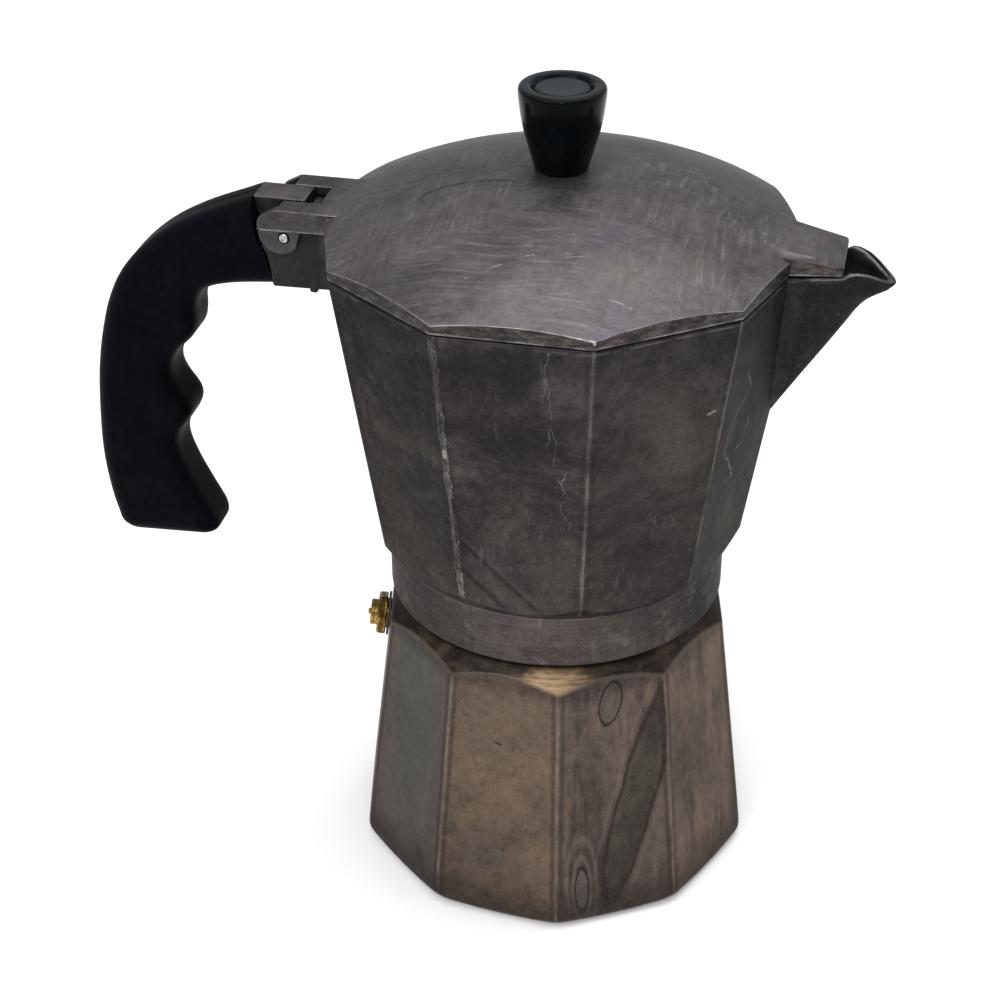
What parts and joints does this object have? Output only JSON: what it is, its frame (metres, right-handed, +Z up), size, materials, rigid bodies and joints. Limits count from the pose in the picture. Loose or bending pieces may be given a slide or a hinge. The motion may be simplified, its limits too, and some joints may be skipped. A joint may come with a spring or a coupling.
{
  "type": "moka pot",
  "caption": "Ten-sided aluminium stovetop moka pot: screw-together boiler and collector, V spout, domed hinged lid with black knob, black finger-grip handle and brass safety valve.",
  "frame": {"origin": "centre of the boiler's flat base, on the pot's axis", "axes": "+Z up along the pot's axis; +X towards the spout, -X towards the handle and lid hinge; the XZ plane is the plane of symmetry of collector, lid and handle"},
  "size_m": [0.2286, 0.1272, 0.24],
  "materials": {
    "boiler_aluminium": "tarnished brown-grey cast aluminium",
    "collector_aluminium": "dark tarnished cast aluminium",
    "lid_aluminium": "brushed, tarnished aluminium",
    "inner_aluminium": "plain turned aluminium",
    "brass": "turned, lightly tarnished",
    "steel": "bright",
    "dark_screw": "blackened",
    "seal_rubber": "matte, off-white silicone",
    "fibre": "matte pressed fibre",
    "handle_bakelite": "satin black phenolic moulding",
    "knob_bakelite": "glossy black phenolic moulding"
  },
  "bodies": {
    "boiler": {"boiler": "boiler_aluminium", "valve_washer": "fibre", "valve_body": "brass", "valve_spring": "steel", "valve_cap": "brass", "funnel_basket": "inner_aluminium", "funnel_stem": "inner_aluminium", "funnel_screen": "inner_aluminium"},
    "valve_plunger": {"valve_plunger": "brass"},
    "seal": {"gasket": "seal_rubber", "filter_plate": "inner_aluminium"},
    "collector": {"collector": "collector_aluminium", "column": "inner_aluminium", "column_cap": "inner_aluminium", "handle": "handle_bakelite", "handle_screw": "dark_screw", "hinge_pin": "steel"},
    "lid": {"lid": "lid_aluminium", "knob": "knob_bakelite", "knob_cap": "knob_bakelite", "knob_insert": "brass", "knob_washer": "steel", "knob_screw": "steel"}
  },
  "joints": [
    {"name": "collector_rise", "type": "slide", "parent": "boiler", "child": "seal", "axis": [0, 0, 1], "range_m": [0, 0.0045]},
    {"name": "collector_unscrew", "type": "hinge", "parent": "seal", "child": "collector", "pos_m": [0, 0, 0.1], "axis": [0, 0, 1], "range_deg": [0, 540]},
    {"name": "lid_hinge", "type": "hinge", "parent": "collector", "child": "lid", "pos_m": [-0.0746, 0, 0.1946], "axis": [0, -1, 0], "range_deg": [0, 86]},
    {"name": "valve_slide", "type": "slide", "parent": "boiler", "child": "valve_plunger", "axis": [-0.9713, -0.2051, 0.1204], "range_m": [0, 0.0012], "stiffness_N_per_m": 300, "springref_m": -0.003, "deforming": ["valve_spring"]}
  ],
  "couplings": [
    {"joint": "collector_rise", "follows": "collector_unscrew", "m_per_rad": 0.00047746}
  ]
}
